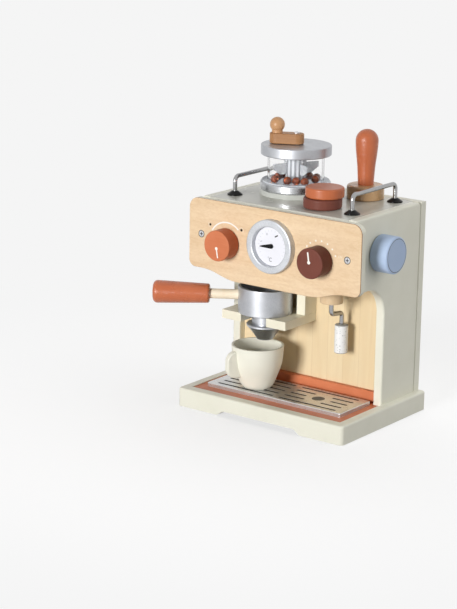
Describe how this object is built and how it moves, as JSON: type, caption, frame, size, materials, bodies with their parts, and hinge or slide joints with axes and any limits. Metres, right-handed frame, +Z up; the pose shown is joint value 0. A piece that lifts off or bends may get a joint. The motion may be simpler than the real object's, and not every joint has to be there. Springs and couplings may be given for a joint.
{
  "type": "toy coffee machine",
  "caption": "Wooden play espresso machine: open-fronted carcass on a drip-tray base, knobs, gauge, bean mill with crank, portafilter over a cup, steam wand and cup rails.",
  "frame": {"origin": "on the floor under the middle of the base board", "axes": "+X to the right of the child who plays, -Y towards the child, +Z up"},
  "size_m": [0.2945, 0.1966, 0.348],
  "materials": {
    "sage_paint": "satin sage-cream paint on wood",
    "birch_ply": "pale birch plywood, clear matt lacquer",
    "wall_wood": "pale wood boards, clear matt lacquer",
    "terracotta": "satin terracotta paint on wood",
    "brown": "satin dark brown paint on wood",
    "blue": "satin pale blue paint on wood",
    "silver_paint": "satin silver paint on wood",
    "disc_grey": "dark grey, satin",
    "beech": "beech, clear lacquer",
    "tamper_wood": "lime wood, clear lacquer",
    "rod_wood": "pale wood, clear lacquer",
    "clear_plastic": "clear, polished",
    "smoke_plastic": "translucent grey, polished",
    "bead_wood": "dark varnished wood",
    "steel": "polished steel rod",
    "screw_steel": "zinc-plated steel",
    "black_plastic": "black, glossy",
    "dial_white": "white printed card",
    "speckled_white": "off-white paint with fine grey speckles",
    "cup_cream": "cream, satin"
  },
  "bodies": {
    "machine": {"base_board": "sage_paint", "drip_bed": "terracotta", "tray_upstand": "terracotta", "drip_grille": "silver_paint", "grille_discs": "disc_grey", "side_panel_left": "sage_paint", "side_panel_right": "sage_paint", "rear_panel": "sage_paint", "top_panel": "sage_paint", "head_floor": "sage_paint", "back_wall": "wall_wood", "facade_screws": "screw_steel", "rear_screws": "screw_steel", "base_screws": "screw_steel", "facade": "birch_ply", "gauge_ring": "silver_paint", "gauge_dial": "dial_white", "gauge_pin": "black_plastic", "knob_washers": "black_plastic", "mill_riser": "sage_paint", "mill_base": "silver_paint", "mill_chamber": "clear_plastic", "mill_lid": "silver_paint", "mill_beads": "bead_wood", "cup_rail_left": "steel", "cup_rail_right": "steel", "rail_feet": "black_plastic", "group_cheek_left": "sage_paint", "group_cheek_right": "sage_paint", "group_fork": "sage_paint", "steam_socket": "wall_wood"},
    "left_knob": {"knob_left": "terracotta", "knob_left_screw": "screw_steel"},
    "right_knob": {"knob_right": "brown", "knob_right_screw": "screw_steel"},
    "side_knob": {"knob_side": "blue", "knob_side_screw": "screw_steel"},
    "needle": {"gauge_needle": "black_plastic"},
    "crank": {"mill_rotor": "smoke_plastic", "crank_arm": "beech", "crank_knob": "beech", "crank_screw": "screw_steel"},
    "spout": {"portafilter_spout": "silver_paint"},
    "portafilter": {"portafilter_bowl": "silver_paint", "portafilter_rod": "rod_wood", "portafilter_handle": "terracotta"},
    "steam_wand": {"steam_tube": "steel", "steam_tip": "speckled_white"},
    "coffee_cup": {"cup": "cup_cream"},
    "tamper": {"tamper_base": "tamper_wood", "tamper_handle": "terracotta"},
    "lower_pod": {"pod_brown": "brown"},
    "upper_pod": {"pod_terracotta": "terracotta"}
  },
  "joints": [
    {"name": "left_knob_turn", "type": "hinge", "parent": "machine", "child": "left_knob", "pos_m": [-0.06675, -0.068, 0.206], "axis": [0, 1, 0], "continuous": true},
    {"name": "right_knob_turn", "type": "hinge", "parent": "machine", "child": "right_knob", "pos_m": [0.06675, -0.068, 0.206], "axis": [0, 1, 0], "continuous": true},
    {"name": "side_knob_turn", "type": "hinge", "parent": "machine", "child": "side_knob", "pos_m": [0.11, -0.01, 0.2117], "axis": [1, 0, 0], "continuous": true},
    {"name": "needle_swing", "type": "hinge", "parent": "machine", "child": "needle", "pos_m": [0, -0.071, 0.213], "axis": [0, 1, 0], "range_deg": [-38, 232]},
    {"name": "crank_turn", "type": "hinge", "parent": "machine", "child": "crank", "pos_m": [-0.034, 0.0243, 0.3], "axis": [0, 0, 1], "continuous": true},
    {"name": "portafilter_slide", "type": "slide", "parent": "machine", "child": "spout", "axis": [0, -1, 0], "range_m": [0, 0.095]},
    {"name": "portafilter_swing", "type": "hinge", "parent": "spout", "child": "portafilter", "pos_m": [-0.04, -0.024, 0.12], "axis": [0, 0, 1], "range_deg": [-30, 58]},
    {"name": "steam_wand_turn", "type": "hinge", "parent": "machine", "child": "steam_wand", "pos_m": [0.056, -0.025, 0.15], "axis": [0, 0, 1], "continuous": true},
    {"name": "cup_slide", "type": "slide", "parent": "machine", "child": "coffee_cup", "axis": [0, -1, 0], "range_m": [0, 0.09]},
    {"name": "tamper_lift", "type": "slide", "parent": "machine", "child": "tamper", "axis": [0, 0, 1], "range_m": [0, 0.06]},
    {"name": "lower_pod_lift", "type": "slide", "parent": "machine", "child": "lower_pod", "axis": [0, 0, 1], "range_m": [0, 0.05]},
    {"name": "upper_pod_lift", "type": "slide", "parent": "lower_pod", "child": "upper_pod", "axis": [0, 0, 1], "range_m": [0, 0.05]}
  ]
}
